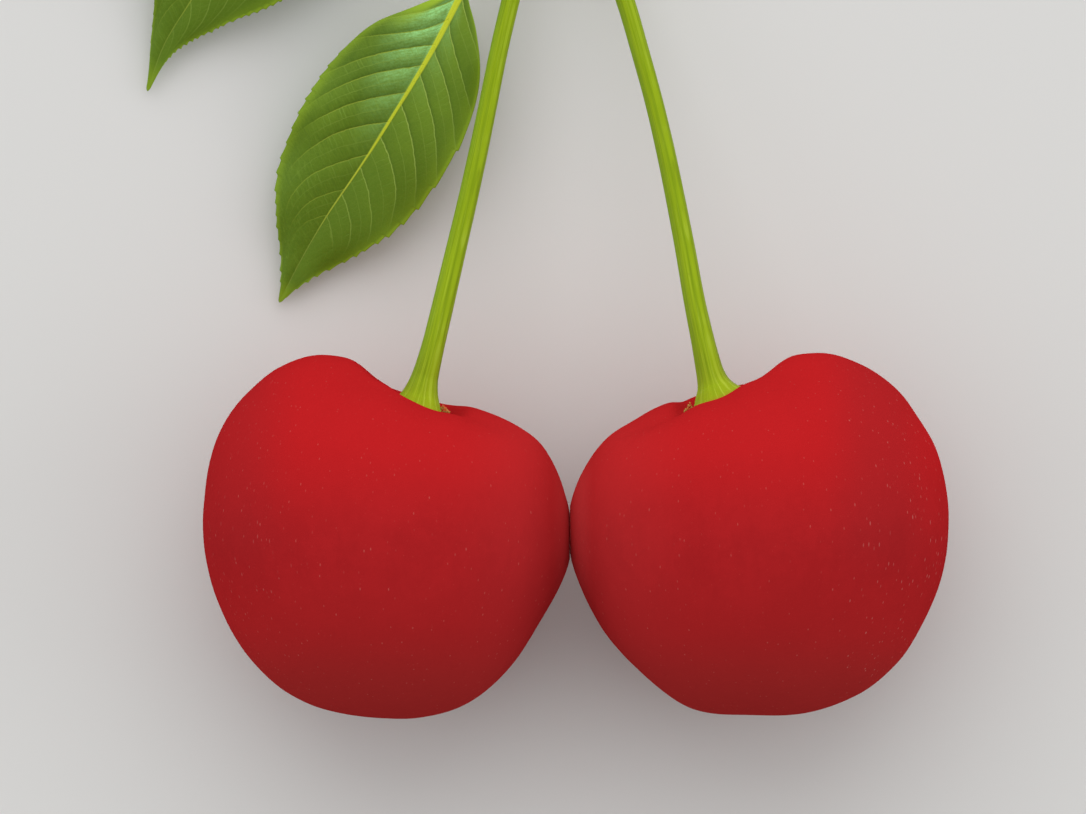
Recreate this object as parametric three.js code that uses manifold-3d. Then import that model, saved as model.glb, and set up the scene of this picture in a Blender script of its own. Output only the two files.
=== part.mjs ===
// A pair of sweet cherries, lying as picked: two fruits that touch, a stalk in the
// hollow of each, and the woody spur that both stalks and two leaves grow from.
//
// Lengths are in millimetres. X runs across the pair and Y from the fruits towards
// the spur. Z points up from the surface, which touches the fruits and the spur at 0.
// A leaf's inner side faces the stalks, and its outer side faces away from them.

import * as THREE from 'three';
import { mergeVertices } from 'three/addons/utils/BufferGeometryUtils.js';
import Module from 'manifold-3d';

// --- Driving dimensions ---

const GROWTH_GAP = 0.12; // left where one piece grows from another
const FLOOR_SIZE = 40; // of the patch of surface that flattens what rests on it
const FLOOR_DEPTH = 10;
const WELD = 1e-5; // corners that are closer than this are one corner

// Cherry outlines start in the stalk's hollow, pass the rim at the fourth station,
// and end at the far pole. Stations are measured from the fruit's centre. The face
// outline runs over the top of the fruit, and its third number is the height there.
// The underside has the same outline, and its rim stands further towards the stalk.
// The rim is raised in one shoulder, at the left (-1) or at the right (1). The leans
// lower the rim's front and raise its back, at the shoulder and across from it.
const CHERRY_ROWS = 30;
const CHERRY_SIDES = 40;
const UNDERSIDE_RISE = [0, 0.05, 0.5, 0.65, 0.65, 0.35, 0.1, 0, 0, 0, 0];
const RIM_STATION = 3;
const RIM_SPAN = 2; // stations either side of the rim that the dip reaches
const RIM_DIP = 1.2; // of the rim, between its shoulder and its two sides
const RIM_SHELTER = 0.6; // part of the dip that the front lacks and the back has on top

const CHERRIES = {
  cherry_left: {
    centre: [-10.95, -22.6, 11.1],
    shoulder: -1,
    shoulderLean: 0,
    sideLean: 0.6,
    right: [
      [2.3, 7.1], [3.5, 7.6], [4.85, 8.35], [6.5, 8.7], [10.35, 6.7], [12.2, 2.8],
      [12.35, -1.55], [10.5, -5.55], [8, -9.2], [4.35, -11.65], [0, -12.15],
    ],
    left: [
      [2.3, 7.1], [1.1, 7.95], [-0.35, 10.05], [-2.8, 12.4], [-7.85, 11.65], [-11.4, 7.6],
      [-12.6, 2.35], [-12, -3.05], [-9.6, -7.9], [-5.35, -11.2], [0, -12.15],
    ],
    face: [
      [2.3, 7.1, 0], [2.5, 7.65, 1.35], [2.8, 8.55, 2.8], [3, 9, 4.6], [2.35, 8, 7.75],
      [1.25, 5, 10.3], [0.35, 0.45, 11.3], [-0.1, -4.3, 10.7], [-0.2, -8.4, 8.35],
      [-0.1, -11.25, 4.6], [0, -12.15, 0],
    ],
  },
  cherry_right: {
    centre: [14.4, -22.6, 11.4],
    shoulder: 1,
    shoulderLean: -0.5,
    sideLean: 1.2,
    right: [
      [-2.8, 7.45], [-1.5, 8.35], [0.05, 10.35], [2.75, 12.65], [8.05, 11.6], [11.65, 7.45],
      [13.15, 2.1], [12.45, -3.35], [9.82, -8.2], [5.2, -11.37], [-0.3, -12],
    ],
    left: [
      [-2.8, 7.45], [-3.95, 7.8], [-5.15, 8.5], [-6.6, 8.7], [-10.35, 6.85], [-12.5, 3.25],
      [-12.65, -1.15], [-11.1, -5.3], [-8.3, -8.75], [-4.7, -11.4], [-0.3, -12],
    ],
    face: [
      [-2.8, 7.45, 0], [-3.05, 7.95, 1.35], [-3.45, 8.85, 2.95], [-3.55, 9.25, 4.7],
      [-2.9, 8.3, 7.9], [-1.6, 5.25, 10.6], [-0.4, 0.65, 11.6], [-0.15, -4.2, 10.9],
      [-0.2, -8.3, 8.5], [-0.25, -11.1, 4.7], [-0.3, -12, 0],
    ],
  },
};

// A stalk's stations run from inside the fruit to inside the spur: x, y, z, radius.
const STALK_SIDES = 12;
const STALK_RIDGE = 0.04; // of the radius, on every other side

const STALKS = {
  stalk_left: {
    fruit: 'cherry_left',
    stations: [
      [-9.25, -15.9, 11.3, 1.9], [-9.2, -15.2, 11.3, 2], [-9.1, -14.4, 11.25, 2.05],
      [-8.93, -13.75, 11.2, 1.95], [-8.8, -13.25, 11.15, 1.62], [-8.7, -12.85, 11.1, 1.38],
      [-8.58, -12.35, 11.05, 1.16], [-8.4, -11.6, 10.95, 0.97], [-8.2, -10.85, 10.9, 0.88],
      [-7.75, -9.1, 10.68, 0.79], [-7.05, -6.15, 9.9, 0.75], [-6.25, -2.7, 8.8, 0.71],
      [-5.45, 0.75, 7.7, 0.68], [-4.7, 4.2, 6.6, 0.66], [-4, 7.65, 5.6, 0.64],
      [-3.3, 11.15, 4.7, 0.63], [-2.5, 14.6, 4, 0.63], [-1.45, 18.8, 3.3, 0.65],
      [-0.5, 22.25, 2.8, 0.68], [0.2, 25.05, 2.5, 0.75], [0.55, 26.8, 2.3, 0.8],
    ],
  },
  stalk_right: {
    fruit: 'cherry_right',
    stations: [
      [12.3, -15.4, 11.5, 2], [12.25, -14.6, 11.45, 2.1], [12.08, -13.75, 11.4, 2.2],
      [11.85, -13.1, 11.35, 2.1], [11.65, -12.62, 11.3, 1.63], [11.5, -12.2, 11.22, 1.3],
      [11.35, -11.75, 11.15, 1.08], [11.15, -11.05, 11.05, 0.94], [10.95, -10.2, 10.9, 0.87],
      [10.68, -8.95, 10.65, 0.8], [10.1, -6.15, 9.9, 0.73], [9.5, -2.7, 8.8, 0.69],
      [8.85, 0.75, 7.7, 0.66], [8.15, 4.2, 6.6, 0.64], [7.35, 7.65, 5.6, 0.62],
      [6.4, 11.15, 4.7, 0.62], [5.4, 14.6, 4, 0.63], [3.85, 18.8, 3.3, 0.65],
      [2.65, 22.25, 2.8, 0.68], [1.8, 25.05, 2.5, 0.75], [1.45, 26.8, 2.3, 0.8],
    ],
  },
};

// The spur lies on its side, mouth first. Ring scars of past years' buds go round it.
const SPUR_PATH = [[0.95, 24.95, 2.2], [1.2, 27.5, 2], [1.45, 29.9, 1.9], [1.75, 32.35, 1.85]];
const SPUR_RADII = [1.65, 2.15, 1.95, 2.05, 1.85, 1.95, 1.8, 1.9, 1.75]; // at even steps
const SPUR_RINGS = 20;
const SPUR_RING_HEIGHT = 0.12;
const SPUR_SIDES = 16;
const SCALE_ANGLES = [0.5, 1.35, 2.2]; // of the bud scales round the mouth, from X to Z
const SCALE_LENGTH = 2;
const SCALE_WIDTH = 0.75;
const SCALE_FLATNESS = 0.5; // thickness, as a part of the width
const SCALE_ROOT = 0.6; // length that is sunk into the spur
const SCALE_INSET = 0.2; // from the edge of the mouth
const SCALE_LEAN = 0.2; // radians, outward
const SCALE_SIDES = 6;

// Leaves: petiole and midrib stations, then the half-widths of each side at even
// steps from the blade's base to its tip.
const BLADE_THICKNESS = 0.6;
const BLADE_END = 0.12; // half-width left at the base and at the tip
const BLADE_REACHES = [-0.9, -0.6, -0.3, 0, 0.3, 0.6, 0.9]; // parts of the half-width
const BLADE_RISE = 0.28; // beside the midrib, as a part of the half-width
const BLADE_FALL = 0.3; // to the margin
const WAVE_HEIGHT = 0.3; // of the margin
const WAVE_COUNT = 3.5;
const VEIN_SWEEP = 0.13; // of the blade's length, forward from midrib to margin
const VEIN_DEPTH = 0.16;
const TOOTH_PEAK = 0.7; // along each tooth, which points to the leaf's tip
const PETIOLE_RADIUS = 0.5;
const MIDRIB_RADIUS = 0.42;
const MIDRIB_TAPER = 0.75; // of the radius, lost by the tip
const MIDRIB_REACH = 0.93; // of the blade's length
const MIDRIB_STAND = 0.06; // above the blade
const MIDRIB_STEPS = 8;
const MIDRIB_SIDES = 8;

const LEAVES = {
  leaf_lower: {
    petiole: [[0.9, 27.25, 2.3], [-1.15, 26.05, 2.6], [-2.7, 23.65, 2.9], [-3.95, 20.15, 3.2]],
    midrib: [
      [-5.6, 15.65, 4], [-7.8, 11.35, 4.2], [-10, 7.65, 4.1], [-12.9, 3.1, 3.4],
      [-15.3, -0.4, 2.5], [-17.1, -3.45, 1.6], [-18.55, -6.25, 0.8],
    ],
    inner: [0, 2, 3.7, 4.6, 4.9, 4.9, 4.6, 3.9, 2.7, 1.1, 0],
    outer: [0, 2.1, 4.15, 5.1, 5.5, 5.5, 5.15, 4.4, 2.8, 1, 0],
    rows: 24,
    teethPerRow: 1,
    toothDepth: 0.2,
  },
  leaf_upper: {
    petiole: [[1.3, 28.5, 2.3], [-1.85, 30.2, 2.6], [-3.95, 31.2, 3]],
    midrib: [
      [-6, 31.65, 4.2], [-10.15, 30.8, 5], [-14.3, 28.05, 5.3], [-18.05, 24.25, 5],
      [-21.55, 19.45, 4], [-24.6, 14.65, 2.6], [-26.5, 11.6, 1.5], [-27.7, 8.4, 0.8],
    ],
    inner: [0, 3, 4.8, 6.2, 6.8, 7, 6.4, 4.9, 2.5, 0.75, 0],
    outer: [0, 3, 4.8, 6.2, 6.9, 7, 6.4, 4.9, 2.6, 0.85, 0],
    rows: 30,
    teethPerRow: 2,
    toothDepth: 0.2,
  },
};

const MATERIALS = {
  cherry: new THREE.MeshStandardMaterial({ color: 0xb01f23, roughness: 0.35, metalness: 0 }),
  stalk: new THREE.MeshStandardMaterial({ color: 0x8da622, roughness: 0.5, metalness: 0 }),
  leaf: new THREE.MeshStandardMaterial({ color: 0x5a7422, roughness: 0.55, metalness: 0 }),
  spur: new THREE.MeshStandardMaterial({ color: 0x6b5140, roughness: 0.85, metalness: 0 }),
};

// --- Curves ---

const vector = ([x, y, z]) => new THREE.Vector3(x, y, z);

// A smooth value at u, counted in stations, through a closed list of number lists.
function roundLoop(list, u) {
  const start = Math.floor(u);
  const t = u - start;
  const at = (step) => list[(start + step + list.length) % list.length];
  return at(0).map((value, k) => {
    const next = at(1)[k];
    const tangentIn = (next - at(-1)[k]) / 2;
    const tangentOut = (at(2)[k] - value) / 2;
    const rise = next - value;
    const curve = 3 * rise - 2 * tangentIn - tangentOut;
    const twist = tangentIn + tangentOut - 2 * rise;
    return value + t * (tangentIn + t * (curve + t * twist));
  });
}

// A smooth value at a part, 0 to 1, of an evenly spaced open list of numbers.
function evenly(values, part) {
  const points = values.map((value, i) => new THREE.Vector2(i, value));
  return new THREE.SplineCurve(points).getPoint(part).y;
}

// --- Solids ---

const wasm = await Module();
wasm.setup();

function geometryFrom(positions, triangles) {
  const geometry = new THREE.BufferGeometry();
  geometry.setAttribute('position', new THREE.Float32BufferAttribute(positions, 3));
  geometry.setIndex(triangles);
  return geometry;
}

function solid(geometry) {
  const bare = geometry.clone();
  bare.deleteAttribute('normal');
  bare.deleteAttribute('uv');
  const merged = mergeVertices(bare, WELD);
  const vertProperties = new Float32Array(merged.attributes.position.array);
  const triVerts = new Uint32Array(merged.index.array);
  return new wasm.Manifold(new wasm.Mesh({ numProp: 3, vertProperties, triVerts }));
}

function geometryOf(manifold) {
  const { vertProperties, triVerts } = manifold.getMesh();
  return geometryFrom(Array.from(vertProperties), Array.from(triVerts));
}

// A closed skin over rings of points, which turn counter-clockwise about the way
// from the first ring to the last, with a point to close each end.
function skin(rings, start, end) {
  const sides = rings[0].length;
  const positions = [...rings.flat(), start, end].flatMap((p) => [p.x, p.y, p.z]);
  const startIndex = rings.length * sides;
  const triangles = [];
  for (let side = 0; side < sides; side++) {
    const next = (side + 1) % sides;
    triangles.push(startIndex, next, side);
    for (let ring = 0; ring < rings.length - 1; ring++) {
      const a = ring * sides + side;
      const b = ring * sides + next;
      triangles.push(a, b, a + sides, b, b + sides, a + sides);
    }
    const last = (rings.length - 1) * sides;
    triangles.push(startIndex + 1, last + side, last + next);
  }
  return geometryFrom(positions, triangles);
}

// A rod through stations of x, y, z and radius, with every other side raised by ridge.
function rod(stations, stepsBetween, sides, ridge = 0) {
  const curve = new THREE.CatmullRomCurve3(stations.map(vector));
  const radii = stations.map((station) => station[3]);
  const steps = (stations.length - 1) * stepsBetween;
  const up = new THREE.Vector3(0, 0, 1);
  const rings = [];
  for (let step = 0; step <= steps; step++) {
    const part = step / steps;
    const radius = evenly(radii, part);
    const tangent = curve.getTangent(part);
    const across = new THREE.Vector3().crossVectors(tangent, up).normalize();
    const over = new THREE.Vector3().crossVectors(across, tangent);
    rings.push(Array.from({ length: sides }, (_, side) => {
      const angle = 2 * Math.PI * side / sides;
      const reach = radius * (side % 2 ? 1 + ridge : 1 - ridge);
      return curve.getPoint(part)
        .addScaledVector(over, reach * Math.cos(angle))
        .addScaledVector(across, reach * Math.sin(angle));
    }));
  }
  return solid(skin(rings, curve.getPoint(0), curve.getPoint(1)));
}

// --- Cherries ---

// How far the rim stands below the outlines: it dips between its shoulder and its two
// sides, and its front stands lower than its back.
function rimDrop({ shoulder, shoulderLean, sideLean }, angle) {
  const [c, s] = [Math.cos(angle), Math.sin(angle)];
  const [atShoulder, atSide] = [1 + shoulder * c, 1 - shoulder * c];
  const dip = RIM_DIP * (1 - RIM_SHELTER * s) * (s ** 2 * c * atShoulder) ** 2;
  return dip + s * c ** 2 * (shoulderLean * atShoulder + sideLean * atSide) / 2;
}

// Four outlines, at the right, the top, the left and the underside, are joined round
// the fruit by a smooth wave through all four. The rim drops by its share, 0 to 1.
function cherryRing(form, rimShare, right, top, left, under) {
  return Array.from({ length: CHERRY_SIDES }, (_, side) => {
    const angle = 2 * Math.PI * side / CHERRY_SIDES;
    const [c, s, twice] = [Math.cos(angle), Math.sin(angle), Math.cos(2 * angle)];
    const weights = [1 + 2 * c + twice, 1 + 2 * s - twice, 1 - 2 * c + twice, 1 - 2 * s - twice];
    const point = vector(form.centre);
    [right, top, left, under].forEach((outline, i) => {
      point.addScaledVector(vector(outline), weights[i] / 4);
    });
    point.y -= rimShare * rimDrop(form, angle);
    return point;
  });
}

function shareOfRim(u) {
  const away = Math.abs(u - RIM_STATION) / RIM_SPAN;
  return away < 1 ? (1 + Math.cos(Math.PI * away)) / 2 : 0;
}

function cherry(form) {
  const { centre, right, left, face } = form;
  const level = ([x, y]) => [x, y, 0];
  const lowered = face.map(([x, y, height], i) => [x, y + UNDERSIDE_RISE[i], -height]);
  const across = [...right, ...left.slice(1, -1).reverse()].map(level);
  const over = [...face, ...lowered.slice(1, -1).reverse()];
  const span = right.length - 1;
  const rings = [];
  for (let row = 1; row < CHERRY_ROWS; row++) {
    const u = span * row / CHERRY_ROWS;
    rings.push(cherryRing(
      form,
      shareOfRim(u),
      roundLoop(across, u),
      roundLoop(over, u),
      roundLoop(across, 2 * span - u),
      roundLoop(over, 2 * span - u),
    ));
  }
  const hollow = vector(level(right[0])).add(vector(centre));
  const pole = vector(level(right[span])).add(vector(centre));
  return solid(skin(rings, hollow, pole)).subtract(floorUnder(centre));
}

function floorUnder([x, y]) {
  const slab = new THREE.BoxGeometry(FLOOR_SIZE, FLOOR_SIZE, FLOOR_DEPTH);
  return solid(slab.translate(x, y, -FLOOR_DEPTH / 2));
}

// --- Stalks ---

// The foot of a stalk fills the fruit's hollow, short of it by the growth gap.
function stalk({ fruit, stations }, fruits, socket) {
  const away = vector(stations[1]).sub(vector(stations[0])).setLength(GROWTH_GAP);
  const seat = geometryOf(fruits[fruit]).translate(away.x, away.y, away.z);
  return rod(stations, 2, STALK_SIDES, STALK_RIDGE).subtract(solid(seat)).subtract(socket);
}

// --- Spur ---

function spur(growth = 0) {
  const path = new THREE.CatmullRomCurve3(SPUR_PATH.map(vector));
  const stations = Array.from({ length: SPUR_RINGS + 1 }, (_, ring) => {
    const { x, y, z } = path.getPointAt(ring / SPUR_RINGS);
    const radius = evenly(SPUR_RADII, ring / SPUR_RINGS);
    return [x, y, z, radius + growth + (ring % 2) * SPUR_RING_HEIGHT];
  });
  stations[0][1] -= growth;
  const scales = SCALE_ANGLES.map((angle) => budScale(angle, growth));
  return scales.reduce((body, scale) => body.add(scale), rod(stations, 1, SPUR_SIDES));
}

// A pointed scale of the bud that the stalks grew from, sunk into the spur's mouth.
function budScale(angle, growth) {
  const [x, y, z] = SPUR_PATH[0];
  const cone = new THREE.ConeGeometry(SCALE_WIDTH + growth, SCALE_LENGTH + growth, SCALE_SIDES);
  cone.translate(0, SCALE_LENGTH / 2 - SCALE_ROOT, 0);
  cone.scale(1, 1, SCALE_FLATNESS);
  cone.rotateX(SCALE_LEAN);
  cone.rotateZ(Math.PI);
  cone.translate(0, 0, SPUR_RADII[0] - SCALE_INSET);
  cone.rotateY(Math.PI / 2 - angle);
  return solid(cone.translate(x, y, z));
}

// --- Leaves ---

// A point on top of a blade. reach runs from -1 at the outer margin, over 0 at the
// midrib, to 1 at the inner margin, and runs forward along the leaf as its veins do.
function bladePoint(leaf, rib, part, reach, tooth = 0) {
  const away = Math.abs(reach);
  const sweep = VEIN_SWEEP * Math.sin(Math.PI * part);
  const widths = reach > 0 ? leaf.inner : leaf.outer;
  const width = BLADE_END + evenly(widths, part + sweep) + tooth;
  const tangent = rib.getTangentAt(part + sweep * away);
  const inward = new THREE.Vector3(-tangent.y, tangent.x, 0).normalize();
  const wave = Math.sin(2 * Math.PI * WAVE_COUNT * part + reach) * Math.sin(Math.PI * part);
  const point = rib.getPointAt(part + sweep * away).addScaledVector(inward, width * reach);
  point.z += width * (BLADE_RISE * away - BLADE_FALL * away ** 2);
  point.z += WAVE_HEIGHT * wave * away ** 2;
  return point;
}

// The rows of a blade, from base to tip. Veins lie in every other row of each side,
// and those of one side start between those of the other.
function bladeGrid(leaf, rib) {
  const points = [];
  for (let row = 0; row <= leaf.rows; row++) {
    const part = row / leaf.rows;
    for (const reach of BLADE_REACHES) {
      const point = bladePoint(leaf, rib, part, reach);
      const isVein = row % 2 === (reach > 0 ? 0 : 1);
      const fade = 4 * Math.abs(reach) * (1 - Math.abs(reach)) * Math.sin(Math.PI * part);
      point.z -= isVein ? VEIN_DEPTH * fade : 0;
      points.push(point);
    }
  }
  return points;
}

// One saw-toothed margin, from base to tip: a notch, then a peak, for each tooth.
function bladeMargin(leaf, rib, side) {
  const teeth = leaf.rows * leaf.teethPerRow;
  const points = [];
  for (let tooth = 0; tooth < teeth; tooth++) {
    const part = (tooth + TOOTH_PEAK) / teeth;
    const height = leaf.toothDepth * Math.sin(Math.PI * part);
    points.push(bladePoint(leaf, rib, tooth / teeth, side));
    points.push(bladePoint(leaf, rib, part, side, height));
  }
  points.push(bladePoint(leaf, rib, 1, side));
  return points;
}

function blade(leaf, rib) {
  const grid = bladeGrid(leaf, rib);
  const outer = bladeMargin(leaf, rib, -1);
  const inner = bladeMargin(leaf, rib, 1);
  const top = [...grid, ...outer, ...inner];
  const across = BLADE_REACHES.length;
  const at = (row, column) => row * across + column;
  const outerAt = (i) => grid.length + i;
  const innerAt = (i) => grid.length + outer.length + i;
  const faces = [];
  for (let row = 0; row < leaf.rows; row++) {
    for (let column = 0; column < across - 1; column++) {
      const [a, b] = [at(row, column), at(row, column + 1)];
      faces.push([a, a + across, b], [b, a + across, b + across]);
    }
    faces.push(...marginFaces(row, leaf.teethPerRow, at(row, across - 1), across, innerAt));
    const outerFaces = marginFaces(row, leaf.teethPerRow, at(row, 0), across, outerAt);
    faces.push(...outerFaces.map(([a, b, c]) => [a, c, b]));
  }
  const columns = BLADE_REACHES.map((_, column) => column);
  const loop = [
    ...outer.map((_, i) => outerAt(i)),
    ...columns.map((column) => at(leaf.rows, column)),
    ...inner.map((_, i) => innerAt(i)).reverse(),
    ...columns.map((column) => at(0, column)).reverse(),
  ];
  return thicken(top, faces, loop);
}

// Fans from two neighbouring grid points to the margin points beside them.
function marginFaces(row, teeth, near, across, marginAt) {
  const far = near + across;
  const first = row * 2 * teeth;
  const middle = first + teeth;
  const faces = [[near, far, marginAt(middle)]];
  for (let i = first; i < middle + teeth; i++) {
    faces.push([i < middle ? near : far, marginAt(i + 1), marginAt(i)]);
  }
  return faces;
}

// A closed sheet: faces on top, the same faces underneath, and a wall round the loop.
function thicken(top, faces, loop) {
  const under = top.length;
  const below = top.map((p) => new THREE.Vector3(p.x, p.y, p.z - BLADE_THICKNESS));
  const triangles = faces.flatMap(([a, b, c]) => [a, b, c, under + a, under + c, under + b]);
  loop.forEach((a, i) => {
    const b = loop[(i + 1) % loop.length];
    triangles.push(a, under + a, under + b, a, under + b, b);
  });
  return geometryFrom([...top, ...below].flatMap((p) => [p.x, p.y, p.z]), triangles);
}

// Petiole and midrib are one tapering rod, which stands out of the blade's underside.
function leafRod(leaf, rib) {
  const petiole = leaf.petiole.map((station) => [...station, PETIOLE_RADIUS]);
  const midrib = Array.from({ length: MIDRIB_STEPS + 1 }, (_, step) => {
    const radius = MIDRIB_RADIUS * (1 - MIDRIB_TAPER * step / MIDRIB_STEPS);
    const { x, y, z } = rib.getPointAt(MIDRIB_REACH * step / MIDRIB_STEPS);
    return [x, y, z + MIDRIB_STAND - radius, radius];
  });
  return rod([...petiole, ...midrib], 2, MIDRIB_SIDES);
}

function leaf(form, socket) {
  const rib = new THREE.CatmullRomCurve3(form.midrib.map(vector));
  return solid(blade(form, rib)).add(leafRod(form, rib)).subtract(socket);
}

// --- The cluster ---

const cluster = new THREE.Group();

function place(name, body, material) {
  const mesh = new THREE.Mesh(geometryOf(body), material);
  mesh.name = name;
  cluster.add(mesh);
}

const socket = spur(GROWTH_GAP);
const fruits = {};
for (const [name, form] of Object.entries(CHERRIES)) {
  fruits[name] = cherry(form);
  place(name, fruits[name], MATERIALS.cherry);
}
for (const [name, form] of Object.entries(STALKS)) {
  place(name, stalk(form, fruits, socket), MATERIALS.stalk);
}
for (const [name, form] of Object.entries(LEAVES)) {
  place(name, leaf(form, socket), MATERIALS.leaf);
}
place('spur', spur().subtract(floorUnder(SPUR_PATH[1])), MATERIALS.spur);

export default cluster;
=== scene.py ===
"""The looks of a pair of sweet cherries, lying as picked on a pale surface.

Lengths are in millimetres in the row's frame, and become metres when a mesh is made.
X runs across the pair and Y from the fruits towards the spur. Z points up. A leaf's
inner side faces the stalks, and its outer side faces away from them.
"""

import math
from types import SimpleNamespace

import bpy
import numpy as np
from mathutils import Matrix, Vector, noise


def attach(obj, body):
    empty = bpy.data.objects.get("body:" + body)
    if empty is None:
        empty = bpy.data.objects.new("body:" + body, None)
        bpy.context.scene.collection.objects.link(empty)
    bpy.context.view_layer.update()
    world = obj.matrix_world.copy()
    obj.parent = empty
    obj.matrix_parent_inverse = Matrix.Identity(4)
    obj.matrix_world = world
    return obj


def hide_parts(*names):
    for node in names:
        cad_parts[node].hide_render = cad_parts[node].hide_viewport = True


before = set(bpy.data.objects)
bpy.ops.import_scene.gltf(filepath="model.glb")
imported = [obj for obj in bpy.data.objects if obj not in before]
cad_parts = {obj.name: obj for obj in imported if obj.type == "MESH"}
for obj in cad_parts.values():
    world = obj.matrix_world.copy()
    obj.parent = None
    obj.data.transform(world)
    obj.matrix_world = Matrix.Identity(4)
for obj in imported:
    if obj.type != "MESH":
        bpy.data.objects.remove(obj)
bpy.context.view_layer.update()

MM = 0.001

# --- Curves ---

PATH_STEPS = 3000


def hermite(start, end, leaving, arriving, t):
    rise = end - start
    curve = 3 * rise - 2 * leaving - arriving
    twist = leaving + arriving - 2 * rise
    return start + t * (leaving + t * (curve + t * twist))


def round_loop(values, u):
    """Smooth rows at u, counted in stations, through a closed list of rows."""
    values = np.array(values, float)
    first = np.floor(u).astype(int)
    a, b, c, d = (values[(first + k) % len(values)] for k in (-1, 0, 1, 2))
    return hermite(b, c, (c - a) / 2, (d - b) / 2, (u - first)[:, None])


def evenly(values, part):
    """Smooth values at a part, 0 to 1, of an evenly spaced open list of numbers."""
    values = np.array(values, float)
    padded = np.concatenate([values[:1], values, values[-1:]])
    u = np.clip(part, 0, 1) * (len(values) - 1)
    first = np.clip(np.floor(u).astype(int), 0, len(values) - 2)
    a, b, c, d = (padded[first + k] for k in range(4))
    return hermite(b, c, (c - a) / 2, (d - b) / 2, u - first)


def through(points, u):
    """Smooth points at u, counted in stations, through an open list of points."""
    points = np.array(points, float)
    ends = 2 * points[[0, -1]] - points[[1, -2]]
    padded = np.concatenate([ends[:1], points, ends[1:]])
    first = np.clip(np.floor(u).astype(int), 0, len(points) - 2)
    a, b, c, d = (padded[first + k] for k in range(4))
    before, between, after = (
        np.sqrt(np.linalg.norm(far - near, axis=1))[:, None]
        for near, far in ((a, b), (b, c), (c, d))
    )
    middle = (c - b) / between
    leaving = ((b - a) / before - (c - a) / (before + between) + middle) * between
    arriving = (middle - (d - b) / (between + after) + (d - c) / after) * between
    return hermite(b, c, leaving, arriving, (u - first)[:, None])


class Path:
    """A smooth path through points, measured along its length from 0 to 1."""

    def __init__(self, points):
        self.fine = through(points, np.linspace(0, len(points) - 1, PATH_STEPS))
        steps = np.linalg.norm(np.diff(self.fine, axis=0), axis=1)
        self.length = steps.sum()
        self.parts = np.concatenate([[0], np.cumsum(steps)]) / self.length

    def point(self, part):
        return np.stack([np.interp(part, self.parts, self.fine[:, k]) for k in range(3)], -1)

    def tangent(self, part):
        return unit(self.point(part + 0.002) - self.point(part - 0.002))


def unit(vectors):
    return vectors / np.linalg.norm(vectors, axis=-1, keepdims=True)


def distance(points, place):
    return np.linalg.norm(points - np.array(place), axis=1)


def full_turn(sides):
    return 2 * math.pi * np.arange(sides) / sides


def smooth(low, high, value):
    """0 on low's side and 1 on high's, with a smooth step between. Either may be more."""
    t = np.clip((value - low) / (high - low), 0, 1)
    return t * t * (3 - 2 * t)


def bell(value, width):
    """1 where value is zero, and close to 0 from twice the width on."""
    return np.exp(-((value / width) ** 2))


def noise_at(points, scale, seed):
    """Smooth noise between about -1 and 1, with features about 1 / scale long."""
    shift = Vector((seed * 17.3, seed * 5.1, -seed * 9.7))
    return np.array([noise.noise(Vector(p) * scale + shift) for p in points])


# --- Meshes ---


def tube(rings):
    """Points and faces of a closed skin over rings, with a point at each end. The rings
    turn counter-clockwise about the way that they run."""
    count, sides, _ = rings.shape
    points = np.concatenate([rings.reshape(-1, 3), [rings[0].mean(0), rings[-1].mean(0)]])
    index = np.arange(count * sides).reshape(count, sides)
    following = np.roll(index, -1, axis=1)
    wall = np.stack([index[:-1], following[:-1], following[1:], index[1:]], -1).reshape(-1, 4)
    first_tip, last_tip = np.full(sides, count * sides), np.full(sides, count * sides + 1)
    near = np.stack([first_tip, following[0], index[0]], -1)
    far = np.stack([last_tip, index[-1], following[-1]], -1)
    return points, wall.tolist() + near.tolist() + far.tolist()


def rings_round(centre, tangent, reach, angle):
    """Rings square to a path, each reach away from it at an angle turned from the top."""
    across = unit(np.cross(tangent, [0, 0, 1]))
    over = np.cross(across, tangent)
    outward = np.cos(angle)[:, None] * over[:, None] + np.sin(angle)[:, None] * across[:, None]
    return centre[:, None] + reach[..., None] * outward


def add_part(points, faces, masks, part, fills):
    """Joins one more closed skin to a piece. Its masks are 0 but for those in fills."""
    more, more_faces = part
    for key in masks:
        masks[key] = np.append(masks[key], np.full(len(more), fills.get(key, 0.0)))
    moved = [[corner + len(points) for corner in face] for face in more_faces]
    return np.concatenate([points, more]), faces + moved


def rest_on_floor(points, softness):
    """Flattens what would sink into the surface, with a soft edge to the flat."""
    z = points[:, 2]
    eased = (z + softness) ** 2 / (4 * softness)
    points[:, 2] = np.where(z > softness, z, np.where(z < -softness, 0, eased))


def normals_of(points, faces):
    mesh = bpy.data.meshes.new("measure")
    mesh.from_pydata(points.tolist(), [], faces)
    normals = np.zeros(len(points) * 3, np.float32)
    mesh.vertex_normals.foreach_get("vector", normals)
    bpy.data.meshes.remove(mesh)
    return normals.reshape(-1, 3)


def add_object(name, data):
    thing = bpy.data.objects.new(name, data)
    bpy.context.scene.collection.objects.link(thing)
    return thing


def place_piece(name, node, points, faces, masks, material):
    """Makes the finer piece that takes the place of one node of the frame."""
    mesh = bpy.data.meshes.new(name)
    mesh.from_pydata((points * MM).tolist(), [], faces)
    mesh.update()
    for mask, values in masks.items():
        attribute = mesh.attributes.new(mask, "FLOAT", "POINT")
        attribute.data.foreach_set("value", np.asarray(values, np.float32))
    mesh.shade_smooth()
    mesh.materials.append(material)
    piece = add_object(name, mesh)
    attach(piece, "root")
    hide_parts(node)


# --- Materials ---


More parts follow.
